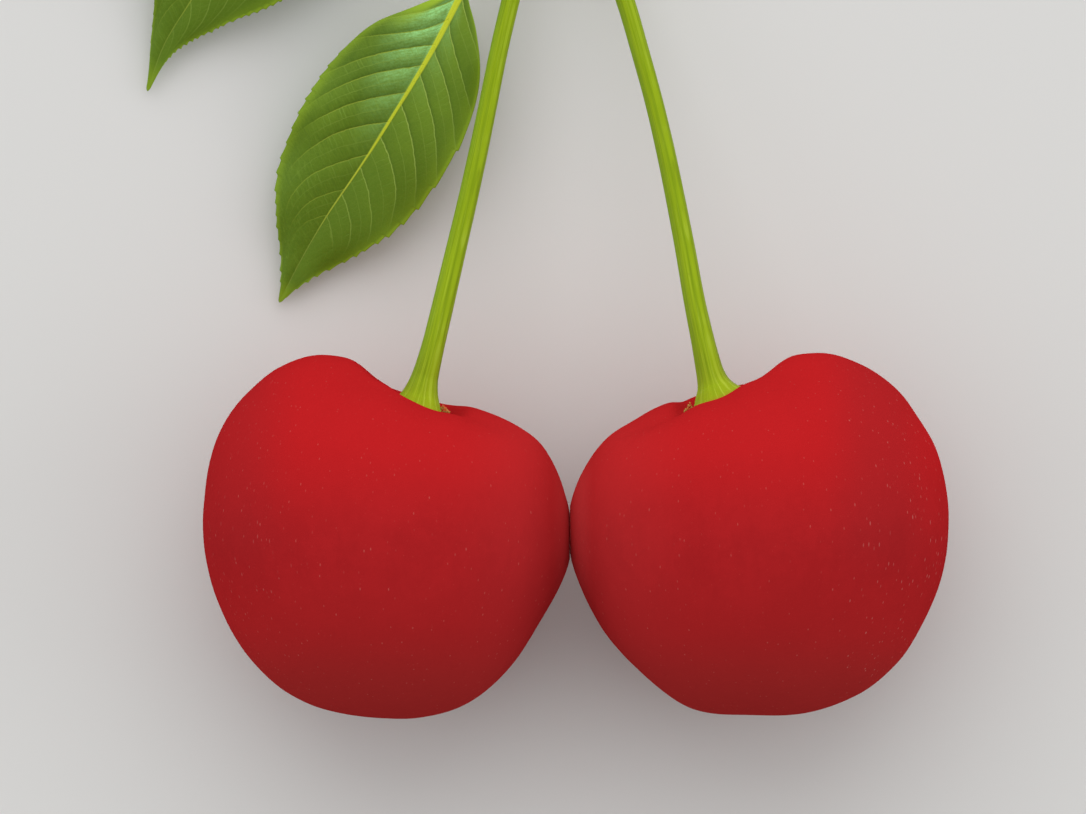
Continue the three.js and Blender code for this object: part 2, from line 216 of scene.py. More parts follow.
class Field:
    """A value that varies over a skin. Fields are added and multiplied as numbers are."""

    def __init__(self, shade, socket):
        self.shade = shade
        self.socket = socket

    def __add__(self, other):
        return self.shade.math("ADD", self, other)

    def __sub__(self, other):
        return self.shade.math("SUBTRACT", self, other)

    def __mul__(self, other):
        return self.shade.math("MULTIPLY", self, other)

    def __abs__(self):
        return self.shade.math("ABSOLUTE", self)

    def band(self, low, high, to_low=0.0, to_high=1.0):
        """The field carried smoothly from low..high to to_low..to_high."""
        node = self.shade.add("MapRange", {"interpolation_type": "SMOOTHSTEP"}, Value=self)
        self.shade.set(node, {"From Min": low, "From Max": high, "To Min": to_low, "To Max": to_high})
        return self.shade.field(node)


class Shade:
    """A procedural material in the making. Any input may be a value or a field."""

    def __init__(self, name):
        self.material = bpy.data.materials.new(name)
        self.material.use_nodes = True
        self.tree = self.material.node_tree

    def set(self, node, values):
        for name, value in values.items():
            socket = node.inputs[name if isinstance(name, int) else name.replace("_", " ")]
            if isinstance(value, Field):
                self.tree.links.new(value.socket, socket)
            else:
                socket.default_value = value

    def add(self, kind, options=None, **values):
        node = self.tree.nodes.new("ShaderNode" + kind)
        for name, value in (options or {}).items():
            setattr(node, name, value)
        self.set(node, values)
        return node

    def field(self, node, output=0):
        return Field(self, node.outputs[output])

    def math(self, operation, *values):
        node = self.add("Math", {"operation": operation})
        self.set(node, dict(enumerate(values)))
        return self.field(node)

    def mask(self, name):
        return self.field(self.add("Attribute", {"attribute_name": name}), "Fac")

    def place(self, along_y=1):
        """The point in the row's frame, in millimetres, with its Y times along_y."""
        coords = self.field(self.add("TexCoord"), "Object")
        node = self.add("VectorMath", {"operation": "MULTIPLY"})
        self.set(node, {0: coords, 1: [1 / MM, along_y / MM, 1 / MM]})
        return self.field(node)

    def join(self, x, y, z=0.0):
        return self.field(self.add("CombineXYZ", X=x, Y=y, Z=z))

    def noise(self, vector, scale=1.0, detail=2.0, rough=0.5):
        values = {"Vector": vector, "Scale": scale, "Detail": detail, "Roughness": rough}
        return self.field(self.add("TexNoise", None, **values), "Fac")

    def mix(self, share, a, b):
        node = self.add("Mix", {"data_type": "RGBA"})
        self.set(node, {0: share, 6: a, 7: b})
        return self.field(node, 2)

    def layers(self, colour, *layers):
        """A ground colour with others laid over it, each as far as its share says."""
        for share, over in layers:
            colour = self.mix(share, colour, over)
        return colour

    def bump(self, height, distance, strength, below=None):
        values = {"Height": height, "Distance": distance * MM, "Strength": strength}
        if below is not None:
            values["Normal"] = below
        return self.field(self.add("Bump", None, **values))

    def finish(self, **values):
        self.set(self.tree.nodes["Principled BSDF"], values)
        return self.material


def srgb(red, green, blue):
    """A colour that is given as it shows on a screen, 0 to 255."""
    parts = [c / 255 for c in (red, green, blue)]
    linear = [p / 12.92 if p <= 0.04045 else ((p + 0.055) / 1.055) ** 2.4 for p in parts]
    return (*linear, 1)


def cherry_skin(name, dashed):
    """Deep red, almost matt skin with a faint mottle and pale specks, and painted light and shade."""
    shade = Shade(name)
    blotch = shade.noise(shade.place(0.6), 0.35, 3.0, 0.55)
    mottle = shade.noise(shade.place(0.7), 1.5, 3.0, 0.6)
    cloud = blotch * 0.6 + mottle * 0.4
    streak = shade.noise(shade.place(0.1), 1.8, 3.0)
    fine = shade.noise(shade.place(), 2.6, 3.0, 0.55)
    flank, crown = shade.mask("flank"), shade.mask("crown")

    # The specks and the longer dashes are plainest on the outer flank, below the crown.
    specks = skin_specks(shade, 0.45, 2.5, flank.band(0.1, 1.0, 0.6, 0.95))
    dashes = skin_specks(shade, 0.32, 2.4, flank.band(0.35, 0.7, 0.0, 0.9))
    glints = skin_specks(shade, 0.7, 3.7, 0.6)
    below_crown = crown.band(0.1, 1.0, 1.0, 0.7)
    speck_strength = below_crown * flank.band(0.3, 1.0, 0.28, 0.26 + 0.42 * dashed)

    colour = shade.layers(
        shade.mix(cloud.band(0.36, 0.64), srgb(161, 30, 33), srgb(168, 32, 35)),
        # Painted light on the crown, the upper part towards the stalks.
        (crown * 0.8, srgb(180, 28, 31)),
        # Painted greyer sheen towards the far pole, on the shaded lower side.
        (shade.mask("far") * 0.85, srgb(163, 43, 42)),
        # Painted light on the lower middle.
        (shade.mask("lit_belly") * 0.45, srgb(175, 32, 35)),
        # Painted shade on the upper part of the outer flank.
        (shade.mask("outside") * 0.45, srgb(148, 33, 36)),
        (streak.band(0.55, 0.8, 0.0, 0.07), srgb(138, 24, 28)),
        # Painted shade in the stalk's hollow.
        (shade.mask("hollow") * 0.12, srgb(130, 18, 21)),
        (shade.mask("suture") * 0.45, srgb(105, 8, 11)),
        # Painted light on the inner flank, which lifts the shade where the two fruits touch.
        (flank.band(-0.3, -1.0, 0.0, 0.3), srgb(190, 54, 56)),
        (flank.band(-0.93, -1.05, 0.0, 0.6), srgb(214, 70, 72)),
        (specks * speck_strength, srgb(214, 122, 112)),
        (dashes * below_crown * dashed, srgb(218, 150, 142)),
        (glints * 0.22, srgb(205, 80, 72)),
        (shade.mask("scar"), srgb(96, 58, 34)),
    )
    return shade.finish(
        Base_Color=colour,
        Normal=shade.bump(specks, 0.02, 0.5, shade.bump(fine, 0.035, 0.4)),
        Roughness=fine.band(0.3, 0.7, 0.44, 0.56),
        Specular_IOR_Level=0.0,
    )


def skin_specks(shade, along_y, scale, share):
    """Small marks, each as strong as chance has it. share of them are there at all."""
    cells = shade.add("TexVoronoi", None, Vector=shade.place(along_y), Scale=scale)
    near = shade.field(cells, "Distance").band(0.06, 0.16, 1.0, 0.0)
    chance = shade.add("SeparateXYZ", None, Vector=shade.field(cells, "Color"))
    shown = shade.math("LESS_THAN", shade.field(chance, 0), share)
    return near * shown * shade.field(chance, 1).band(0.0, 1.0, 0.2, 1.0)


def stalk_skin():
    """Green skin with lines along the stalk, brighter at its foot, a painted sheen on its left side,
    and dry crumbs.
    """
    shade = Shade("stalk_skin")
    around, along, foot = (shade.mask(name) for name in ("around", "along", "foot"))
    lines = shade.noise(shade.join(around * 4.2, along * 0.07), 1.0, 3.0, 0.6)
    fine = shade.noise(shade.join(around * 15.0, along * 0.3))
    threads = shade.noise(shade.join(around * 10.0, along * 0.12, 7.0), 1.0, 1.0)
    dry = shade.noise(shade.place(), 4.0, 1.0).band(0.4, 0.6)
    spots = shade.noise(shade.place(), 1.9, 4.0, 0.65)
    colour = shade.layers(
        shade.mix(lines.band(0.36, 0.64), srgb(120, 145, 10), srgb(142, 166, 20)),
        (fine.band(0.54, 0.72, 0.0, 0.5), srgb(104, 124, 16)),
        (fine.band(0.46, 0.3, 0.0, 0.5), srgb(158, 180, 52)),
        # Painted bluish sheen on the side that faces -X.
        (shade.mask("left") * 0.22, srgb(108, 156, 62)),
        (foot * 0.6, srgb(152, 172, 22)),
        (threads.band(0.6, 0.68) * (foot * 0.4 + 0.2), srgb(178, 198, 62)),
        (shade.mask("rim") * 0.4, srgb(160, 138, 36)),
        (shade.mask("crumb"), shade.mix(dry, srgb(196, 84, 46), srgb(172, 142, 74))),
        (spots.band(0.66, 0.74, 0.0, 0.3), srgb(116, 112, 40)),
    )
    return shade.finish(
        Base_Color=colour,
        Normal=shade.bump(lines * 0.7 + fine * 0.3, 0.16, 0.6),
        Roughness=0.5,
        Specular_IOR_Level=0.06,
    )


def leaf_skin():
    """A veined leaf: the strips between its side veins with their painted light and shade, a painted
    sheen, and then the veins.
    """
    shade = Shade("leaf_green")
    at = vein_strips(shade)
    vigour, rib = shade.mask("vigour"), shade.mask("rib")
    tint = shade.noise(shade.place(), 0.5, 3.0, 0.55)
    comb = shade.noise(shade.join(at.run * 6.0, at.cell * 1.6), 1.0, 2.0, 0.6)
    combed = at.reach.band(-0.05, 0.05, 1.0, 0.3)

    # Each strip has painted light beside its first vein, and painted shade, darkest just before the
    # next one.
    strip = at.left * (vigour * 0.7) + tint * 0.5
    step = (at.left * at.gap).band(0.03, 0.3, 1.0, 0.0)
    step = step * (vigour * abs(at.reach).band(0.35, 0.95, 1.0, 0.2))

    vein = (shade.math("MINIMUM", at.part, at.left) * at.gap).band(0.015, 0.06, 1.0, 0.0)
    vein = vein * at.clear
    between = (abs(at.part - 0.5) * at.gap).band(0.01, 0.045, 1.0, 0.0)
    rung = cross_veins(shade, at)
    cells = shade.add("TexVoronoi", {"feature": "DISTANCE_TO_EDGE"}, Vector=shade.place(), Scale=2.8)
    net = shade.field(cells, "Distance").band(0.02, 0.12, 1.0, 0.0)
    inner = at.reach.band(-0.02, 0.02)
    upper = shade.layers(
        shade.mix(strip.band(0.15, 1.0), srgb(87, 116, 21), srgb(103, 132, 29)),
        (comb.band(0.5, 0.7, 0.0, 0.4) * combed, srgb(78, 107, 22)),
        (comb.band(0.47, 0.3, 0.0, 0.25) * combed, srgb(116, 146, 48)),
        # Painted shadow just before each next vein.
        (step * 0.4, srgb(58, 88, 14)),
        # Painted shade over the outer half, some way up from the base.
        (shade.mask("outer_shade") * 0.33, srgb(58, 88, 14)),
        # Painted sheen near the base, where the light glances off the blade.
        (leaf_sheen(shade, at), srgb(142, 200, 120)),
        (shade.mask("pale"), srgb(142, 172, 36)),
        (net * 0.05, srgb(132, 156, 60)),
        (rung * (at.clear * inner.band(0.0, 1.0, 0.55, 0.25)), srgb(124, 156, 62)),
        (between * (at.clear * 0.36), srgb(128, 154, 60)),
        (vein * 0.8, shade.mix(inner, srgb(138, 158, 50), srgb(148, 172, 74))),
        (rib, shade.mix(at.clear, srgb(152, 168, 74), srgb(186, 196, 42))),
    )
    under = shade.mix(vein * 0.5 + rib, srgb(132, 158, 86), srgb(168, 186, 104))
    grain = shade.noise(shade.place(), 7.0, 3.0)
    height = vein * -0.5 + rung * -0.2 + net * -0.1 + grain * 0.25
    return shade.finish(
        Base_Color=shade.mix(shade.mask("upper"), under, upper),
        Normal=shade.bump(height, 0.06, 0.7),
        Roughness=tint.band(0.3, 0.7, 0.44, 0.56),
        Specular_IOR_Level=0.15,
    )


def vein_strips(shade):
    """The strips between side veins. cell counts the veins, part runs from 0 at one vein
    to 1 at the next, left is the rest of that way, and gap is its length in mm."""
    names = ("cell", "gap", "reach", "run", "clear")
    at = SimpleNamespace(**{name: shade.mask(name) for name in names})
    at.cell = at.cell + (shade.noise(shade.place(), 0.9, 3.0, 0.65) - 0.5) * 0.14
    at.part = shade.math("FRACT", at.cell)
    at.left = shade.math("SUBTRACT", 1.0, at.part)
    return at


def leaf_sheen(shade, at):
    """A painted sheen, which fades towards the end of each strip and is finely wrinkled."""
    grain = shade.noise(shade.place(), 5.5, 3.0, 0.7)
    wrinkle = shade.noise(shade.join(at.run * 1.1, at.cell * 10.0), 1.0, 3.0, 0.65)
    painted_sheen = shade.mask("painted_sheen") * at.part.band(0.0, 0.95, 1.0, 0.3)
    return painted_sheen * grain.band(0.35, 0.65, 0.6, 1.0) * wrinkle.band(0.42, 0.62, 1.0, 0.55)


def cross_veins(shade, at):
    """Short lines square to the side veins, which start at one and fade before the next."""
    strip = shade.math("FLOOR", at.cell * 2.0)
    shift = shade.field(shade.add("TexWhiteNoise", {"noise_dimensions": "1D"}, W=strip), "Value")
    bend = shade.noise(shade.place(), 1.1, 1.0) * 0.8
    step = at.run * 2.4 + shift * 5.0 + bend
    chance = shade.add("TexWhiteNoise", {"noise_dimensions": "2D"})
    shade.set(chance, {"Vector": shade.join(shade.math("FLOOR", step), strip)})
    centre = shade.field(chance, "Value").band(0.0, 1.0, 0.3, 0.7)
    line = abs(shade.math("FRACT", step) - centre).band(0.03, 0.12, 1.0, 0.0)
    luck = shade.add("SeparateXYZ", None, Vector=shade.field(chance, "Color"))
    shown = shade.field(luck, 1).band(0.3, 0.9)
    return line * shown * at.part.band(0.05, 0.75, 1.0, 0.1)


def spur_skin():
    """Flaky bark with dark rings, brown scales, and pale wood at the cut."""
    shade = Shade("spur_bark")
    flakes = shade.noise(shade.place(2.2), 0.9, 6.0, 0.7)
    fine = shade.noise(shade.place(), 5.0, 5.0, 0.7)
    heart = shade.mask("heart")  # 0 in the middle of the cut, and 1 at the bark
    uneven = heart + shade.noise(shade.place(), 0.8, 2.0) * 0.25
    growth = shade.math("SINE", uneven * 26.0)
    wood = shade.layers(
        shade.mix(growth.band(-1.0, 1.0, 0.0, 0.5), srgb(200, 182, 134), srgb(170, 144, 96)),
        (heart.band(0.84, 0.93), srgb(136, 140, 70)),
        (heart.band(0.12, 0.06), srgb(132, 102, 66)),
    )
    colour = shade.layers(
        shade.mix(flakes.band(0.35, 0.65), srgb(84, 66, 50), srgb(138, 116, 92)),
        (fine.band(0.55, 0.8, 0.0, 0.5), srgb(168, 152, 130)),
        (shade.mask("ring") * 0.6, srgb(62, 46, 36)),
        (shade.mask("wood"), wood),
        (shade.mask("scale"), srgb(112, 70, 42)),
    )
    return shade.finish(
        Base_Color=colour,
        Normal=shade.bump(flakes * 0.7 + fine * 0.4, 0.2, 0.8),
        Roughness=0.85,
        Specular_IOR_Level=0.25,
    )


# --- Cherries ---

CHERRY_ROWS = 170
CHERRY_SIDES = 240
CHERRY_SOFTNESS = 0.12
HALF_WIDTH = 12

# How much nearer the spur the underside's outline lies than the upper one, by station.
UNDERSIDE_RISE = [0, 0.05, 0.5, 0.65, 0.65, 0.35, 0.1, 0, 0, 0, 0]
RIM_STATION = 3
RIM_SPAN = 2
RIM_DIP = 1.2
RIM_SHELTER = 0.6

# The two fruits press flat here. Each stops CONTACT_GAP short of the plane between.
CONTACT = [1.57, -22.2, 11.2]
CONTACT_GAP = 0.003
CONTACT_REACH = 3.2
CONTACT_BULGE = 0.16

LUMP_HEIGHT = 0.09
FINE_LUMP_HEIGHT = 0.02
SUTURE_WIDTH = 0.22
SUTURE_DEPTH = 0.05
FURROW_WIDTH = 1.4
FURROW_DEPTH = 0.16
SCAR_STATION = 9.55
SCAR_ANGLE = 4.7
SCAR_EDGE = [0.55, 0.3]
DIMPLE_WIDTH = 0.9
DIMPLE_DEPTH = 0.3

# The outlines are the source's, which holds the fruit's form. They start in the
# stalk's hollow, pass the rim at station 3, and end at the far pole. outer is the way
# along X to the flank that faces away from the other fruit. outside says where the
# painted shade on the upper part of that flank starts, is full and begins to fade, as
# parts of the half width. suture is an angle round the fruit, and dashed is the strength
# of the long pale specks. A swell is X, Y, reach and height.
CHERRY_LEFT = {
    "centre": [-10.95, -22.6, 11.1],
    "outer": -1,
    "outer_lean": 0,
    "inner_lean": 0.6,
    "lump_seed": 0,
    "outside": [0.45, 0.85, 1.3],
    "suture": 4.1,
    "dashed": 0.16,
    "swells": [
        [-6.3, -13.85, 1.1, 0.18], [-8, -13.4, 1.6, -0.1], [-10.9, -12.1, 0.9, 0.2],
        [-15.8, -10.1, 1.6, 0.14], [-19.6, -11.7, 2.2, -0.16], [-18.3, -32.7, 2.5, 0.1],
        [-11.4, -34.7, 4, 0.07], [-5.3, -33.6, 2, 0.1],
    ],
    "right": [
        [2.3, 7.1], [3.5, 7.6], [4.85, 8.35], [6.5, 8.7], [10.35, 6.7], [12.2, 2.8], [12.35, -1.55],
        [10.5, -5.55], [8, -9.2], [4.35, -11.65], [0, -12.15],
    ],
    "left": [
        [2.3, 7.1], [1.1, 7.95], [-0.35, 10.05], [-2.8, 12.4], [-7.85, 11.65], [-11.4, 7.6],
        [-12.6, 2.35], [-12, -3.05], [-9.6, -7.9], [-5.35, -11.2], [0, -12.15],
    ],
    "face": [
        [2.3, 7.1, 0], [2.5, 7.65, 1.35], [2.8, 8.55, 2.8], [3, 9, 4.6], [2.35, 8, 7.75],
        [1.25, 5, 10.3], [0.35, 0.45, 11.3], [-0.1, -4.3, 10.7], [-0.2, -8.4, 8.35],
        [-0.1, -11.25, 4.6], [0, -12.15, 0],
    ],
}
CHERRY_RIGHT = {
    "centre": [14.4, -22.6, 11.4],
    "outer": 1,
    "outer_lean": -0.5,
    "inner_lean": 1.2,
    "lump_seed": 2,
    "outside": [0.3, 0.65, 0.75],
    "suture": 5.3,
    "dashed": 0.36,
    "swells": [
        [10.1, -13.3, 1.2, 0.22], [5.7, -14.5, 1.5, -0.13], [13.4, -12, 1.1, 0.24],
        [19.4, -9.9, 1.4, 0.18], [23, -11.4, 1.5, -0.08], [25.6, -14.2, 1.8, -0.1],
        [25.8, -28.4, 2, -0.1], [22, -32.6, 2, 0.13], [16.6, -34.5, 2.5, 0.12], [10.5, -34.2, 2, 0.1],
    ],
    "right": [
        [-2.8, 7.45], [-1.5, 8.35], [0.05, 10.35], [2.75, 12.65], [8.05, 11.6], [11.65, 7.45],
        [13.15, 2.1], [12.45, -3.35], [9.82, -8.2], [5.2, -11.37], [-0.3, -12],
    ],
    "left": [
        [-2.8, 7.45], [-3.95, 7.8], [-5.15, 8.5], [-6.6, 8.7], [-10.35, 6.85], [-12.5, 3.25],
        [-12.65, -1.15], [-11.1, -5.3], [-8.3, -8.75], [-4.7, -11.4], [-0.3, -12],
    ],
    "face": [
        [-2.8, 7.45, 0], [-3.05, 7.95, 1.35], [-3.45, 8.85, 2.95], [-3.55, 9.25, 4.7],
        [-2.9, 8.3, 7.9], [-1.6, 5.25, 10.6], [-0.4, 0.65, 11.6], [-0.15, -4.2, 10.9],
        [-0.2, -8.3, 8.5], [-0.25, -11.1, 4.7], [-0.3, -12, 0],
    ],
}


def level(outline):
    return [[x, y, 0] for x, y in outline]


def rim_drop(form, c, s):
    """How much farther from the spur than the four outlines the rim stands."""
    at_outer, at_inner = 1 + form["outer"] * c, 1 - form["outer"] * c
    dip = RIM_DIP * (1 - RIM_SHELTER * s) * (s**2 * c * at_outer) ** 2
    lean = form["outer_lean"] * at_outer + form["inner_lean"] * at_inner
    return dip + s * c**2 * lean / 2


def cherry_rings(form, u, angles):
    """Four outlines joined round the fruit by a smooth wave through all four."""
    face = form["face"]
    lowered = [[x, y + rise, -z] for (x, y, z), rise in zip(face, UNDERSIDE_RISE)]
    across = level(form["right"]) + level(form["left"])[-2:0:-1]
    over = face + lowered[-2:0:-1]
    back = 2 * (len(face) - 1) - u
    outlines = [round_loop(loop, at) for at in (u, back) for loop in (across, over)]
    c, s = np.cos(angles), np.sin(angles)
    twice = np.cos(2 * angles)
    weights = [1 + 2 * c + twice, 1 + 2 * s - twice, 1 - 2 * c + twice, 1 - 2 * s - twice]
    rings = np.einsum("ks,krx->rsx", np.stack(weights) / 4, np.stack(outlines))
    away = np.abs(u - RIM_STATION) / RIM_SPAN
    at_rim = np.where(away < 1, (1 + np.cos(math.pi * away)) / 2, 0)
    rings[..., 1] -= at_rim[:, None] * rim_drop(form, c, s)
    return rings + np.array(form["centre"])


def cherry_relief(form, points, row, side):
    """How far the skin lifts off its plain form, and the masks of its suture and scar."""
    turn = np.abs((side - form["suture"] + math.pi) % (2 * math.pi) - math.pi)
    from_axis = np.linalg.norm((points - np.array(form["centre"]))[:, [0, 2]], axis=1)
    ends = smooth(1.5, 3.5, row) * smooth(9.6, 8.8, row)
    suture = bell(turn * from_axis, SUTURE_WIDTH) * ends
    furrow = bell(turn * from_axis, FURROW_WIDTH) * ends
    nearest = np.argmin(np.abs(row - SCAR_STATION) + 5 * np.abs(side - SCAR_ANGLE))
    from_scar = distance(points, points[nearest])
    from_contact = distance(points, CONTACT)

    lumps = noise_at(points, 0.16, form["lump_seed"]) * LUMP_HEIGHT
    lumps += noise_at(points, 0.5, 4) * FINE_LUMP_HEIGHT
    lift = lumps * smooth(1.5, 5, from_contact)
    lift += CONTACT_BULGE * bell(from_contact, CONTACT_REACH)
    for x, y, reach, height in form["swells"]:
        lift += height * bell(distance(points[:, :2], [x, y]), reach)
    lift -= FURROW_DEPTH * furrow + SUTURE_DEPTH * suture
    lift -= DIMPLE_DEPTH * bell(from_scar, DIMPLE_WIDTH)
    return lift, {"suture": suture, "scar": smooth(*SCAR_EDGE, from_scar)}


def cherry_zones(form, points, row):
    """Masks of where light and shade are painted into the red, and flank, which is -1 on the inner
    side.
    """
    x, y, _ = form["centre"]
    flank = form["outer"] * (points[:, 0] - x) / HALF_WIDTH
    upward = points[:, 1] - y
    first, full, last = form["outside"]
    outside = smooth(first, full, flank) * smooth(last + 0.3, last, flank)
    return {
        "flank": flank,
        # painted shade in the stalk's hollow
        "hollow": smooth(3.1, 1.6, row),
        # painted light on the upper part, towards the stalks
        "crown": smooth(-1, 7, upward),
        # painted light on the lower middle
        "lit_belly": bell(upward + 5.5, 3),
        # painted greyer sheen towards the far pole, on the shaded lower side
        "far": smooth(-1, -10.5, upward),
        # painted shade on the upper part of the outer flank
        "outside": outside * smooth(-4, 1, upward),
    }


def press_flat(points, outer):
    """Flattens what would reach past the plane where the fruits touch."""
    inner = outer * (points[:, 0] - CONTACT[0])
    plane = CONTACT[0] + outer * CONTACT_GAP
    points[:, 0] = np.where(inner < CONTACT_GAP, plane, points[:, 0])


def build_cherry(name, form):
    u = (len(form["face"]) - 1) * np.arange(1, CHERRY_ROWS) / CHERRY_ROWS
    angles = full_turn(CHERRY_SIDES)
    points, faces = tube(cherry_rings(form, u, angles))
    poles = level([form["right"][0], form["right"][-1]])
    points[-2:] = np.array(poles) + np.array(form["centre"])
    row = np.append(np.repeat(u, CHERRY_SIDES), [0, u[-1]])
    side = np.append(np.tile(angles, len(u)), [0, 0])
    lift, marks = cherry_relief(form, points, row, side)
    points = points + normals_of(points, faces) * lift[:, None]
    press_flat(points, form["outer"])
    rest_on_floor(points, CHERRY_SOFTNESS)
    masks = {**cherry_zones(form, points, row), **marks}
    skin = cherry_skin("skin_" + name, form["dashed"])
    place_piece(name + "_skin", name, points, faces, masks, skin)


# --- Stalks ---

STALK_SIDES = 48
STALK_STEPS = 12  # between two stations

# Each is a ridge's height as a part of the radius, the count of such ridges round the
# stalk, their twist from one station to the next, and their share of the stalk's seed.
STALK_RIDGES = [[0.022, 6, 0.07, 1], [0.012, 11, -0.15, 2]]

# From the hollow of the fruit to the spur, as X, Y, Z and radius.
STALKS = {
    "stalk_left": [
        [-9.25, -15.9, 11.3, 1.9], [-9.2, -15.2, 11.3, 2], [-9.1, -14.4, 11.25, 2.05],
        [-8.93, -13.75, 11.2, 1.95], [-8.8, -13.25, 11.15, 1.62], [-8.7, -12.85, 11.1, 1.38],
        [-8.58, -12.35, 11.05, 1.16], [-8.4, -11.6, 10.95, 0.97], [-8.2, -10.85, 10.9, 0.88],
        [-7.75, -9.1, 10.68, 0.79], [-7.05, -6.15, 9.9, 0.75], [-6.25, -2.7, 8.8, 0.71],
        [-5.45, 0.75, 7.7, 0.68], [-4.7, 4.2, 6.6, 0.66], [-4, 7.65, 5.6, 0.64],
        [-3.3, 11.15, 4.7, 0.63], [-2.5, 14.6, 4, 0.63], [-1.45, 18.8, 3.3, 0.65],
        [-0.5, 22.25, 2.8, 0.68], [0.2, 25.05, 2.5, 0.75], [0.55, 26.8, 2.3, 0.8],
    ],
    "stalk_right": [
        [12.3, -15.4, 11.5, 2], [12.25, -14.6, 11.45, 2.1], [12.08, -13.75, 11.4, 2.2],
        [11.85, -13.1, 11.35, 2.1], [11.65, -12.62, 11.3, 1.63], [11.5, -12.2, 11.22, 1.3],
        [11.35, -11.75, 11.15, 1.08], [11.15, -11.05, 11.05, 0.94], [10.95, -10.2, 10.9, 0.87],
        [10.68, -8.95, 10.65, 0.8], [10.1, -6.15, 9.9, 0.73], [9.5, -2.7, 8.8, 0.69],
        [8.85, 0.75, 7.7, 0.66], [8.15, 4.2, 6.6, 0.64], [7.35, 7.65, 5.6, 0.62],
        [6.4, 11.15, 4.7, 0.62], [5.4, 14.6, 4, 0.63], [3.85, 18.8, 3.3, 0.65],
        [2.65, 22.25, 2.8, 0.68], [1.8, 25.05, 2.5, 0.75], [1.45, 26.8, 2.3, 0.8],
    ],
}

CRUMB_SIDES = 16
CRUMB_ROWS = 9
CRUMB_BUMPS = 0.7

# Dry flecks on the inner side of each stalk's foot, as X, Y, Z and size.
CRUMBS = {
    "stalk_left": [
        [-7.14, -13.6, 11.8, 0.14], [-7, -13.7, 11.9, 0.14], [-6.85, -13.79, 11.95, 0.13],
        [-6.7, -13.86, 12, 0.1], [-7.06, -13.84, 11.75, 0.12], [-7.08, -13.47, 11.85, 0.09],
        [-6.9, -13.93, 11.8, 0.09],
    ],
    "stalk_right": [
        [9.78, -13.42, 12, 0.12], [9.8, -13.24, 12.1, 0.08], [9.68, -13.58, 11.95, 0.13],
        [9.86, -13.62, 11.8, 0.15], [9.53, -13.7, 11.95, 0.11], [9.42, -13.8, 12, 0.08],
        [9.74, -13.76, 11.8, 0.12],
    ],
}


def rod_rings(stations, steps, sides, relief):
    """Rings round a path. relief(u, angle) is each point's reach, as a part of the radius."""
    stations = np.array(stations, float)
    u = np.linspace(0, len(stations) - 1, (len(stations) - 1) * steps + 1)
    centre = through(stations[:, :3], u)
    radius = evenly(stations[:, 3], u / u[-1])
    angle = full_turn(sides)
    reach = radius[:, None] * relief(u[:, None], angle[None, :])
    rings = rings_round(centre, unit(np.gradient(centre, axis=0)), reach, angle)
    return rings, u, angle, centre


def crumb(place, size, random):
    """A dry, uneven fleck, which lies where the foot meets the fruit."""
    turn = full_turn(CRUMB_SIDES)
    tilt = math.pi * (np.arange(CRUMB_ROWS) + 0.5) / CRUMB_ROWS
    ball = np.stack([
        np.sin(tilt)[:, None] * np.cos(turn),
        np.sin(tilt)[:, None] * np.sin(turn),
        np.cos(tilt)[:, None] + 0 * turn,
    ], -1)
    bumps = noise_at(ball.reshape(-1, 3), 1.6, random.uniform(0, 50)) * CRUMB_BUMPS
    stretch = np.array([random.uniform(0.6, 1), random.uniform(0.9, 1.5), 0.6])
    reach = 1 + bumps.reshape(CRUMB_ROWS, CRUMB_SIDES, 1)
    points, faces = tube(ball[:, ::-1] * reach * stretch * size)
    return points + np.array(place), faces


def build_stalk(name, stations, skin, seed):
    def relief(u, angle):
        ridges = sum(
            height * np.cos(count * angle + twist * u + share * seed)
            for height, count, twist, share in STALK_RIDGES
        )
        return 1 + ridges * (1 - 0.3 * smooth(9, 4, u))

    rings, u, angle, centre = rod_rings(stations, STALK_STEPS, STALK_SIDES, relief)
    points, faces = tube(rings)
    row = np.append(np.repeat(u, STALK_SIDES), [u[0], u[-1]])
    side = np.append(np.tile(angle, len(u)), [0, 0])
    along = np.append(0, np.cumsum(np.linalg.norm(np.diff(centre, axis=0), axis=1)))
    masks = {
        "around": np.sin(side) + 1.7 * np.cos(side),
        "along": np.interp(row, u, along),
        "foot": smooth(8, 3.5, row),
        "rim": smooth(3.75, 3.1, row),
        # where the painted sheen lies, on the side that faces -X
        "left": smooth(0.25, 0.95, -np.sin(side)),
        "crumb": np.zeros(len(row)),
    }
    random = np.random.default_rng(seed)
    for *place, size in CRUMBS[name]:
        points, faces = add_part(points, faces, masks, crumb(place, size, random), {"crumb": 1.0})
    place_piece(name + "_skin", name, points, faces, masks, skin)


# --- Leaves ---

BLADE_END = 0.12
BLADE_RISE = 0.28
BLADE_FALL = 0.3
BLADE_THICKNESS = 0.3
WAVE_HEIGHT = 0.3
WAVE_COUNT = 3.5
VEIN_SWEEP = 0.13
VEIN_HEIGHT = 0.07  # on the underside
VEIN_WIDTH = 0.16
QUILT_HEIGHT = 0.17
QUILT_GAP = 1.7  # the least way between two veins that swells in full
INNER_QUILT = 0.55

MIDRIB_RADIUS = 0.42
MIDRIB_TAPER = 0.75
MIDRIB_STAND = 0.09
RIB_HALF_WIDTHS = [0.24, 0.2, 0.165, 0.13, 0.1, 0.075, 0.058, 0.045, 0.036, 0.03, 0.025]

PETIOLE_RADIUS = 0.5
PETIOLE_STEPS = 14  # between two stations
PETIOLE_SIDES = 28
CHANNEL_DEPTH = 0.14  # as a part of the radius
CHANNEL_WIDTH = 0.5  # in radians
# Where the petiole runs on under the midrib: the part of the midrib, the petiole's
# radius there as a part of the midrib's, and its rise.
PETIOLE_GRIPS = [[0.0, 1.12, 0.12], [0.05, 0.75, 0.02], [0.1, 0.4, -0.05]]
PETIOLE_MASKS = {
    "rib": 0.5, "upper": 1.0, "vigour": 1.0, "clear": 1.0, "gap": 2.0, "cell": 0.5, "reach": 0.5,
}

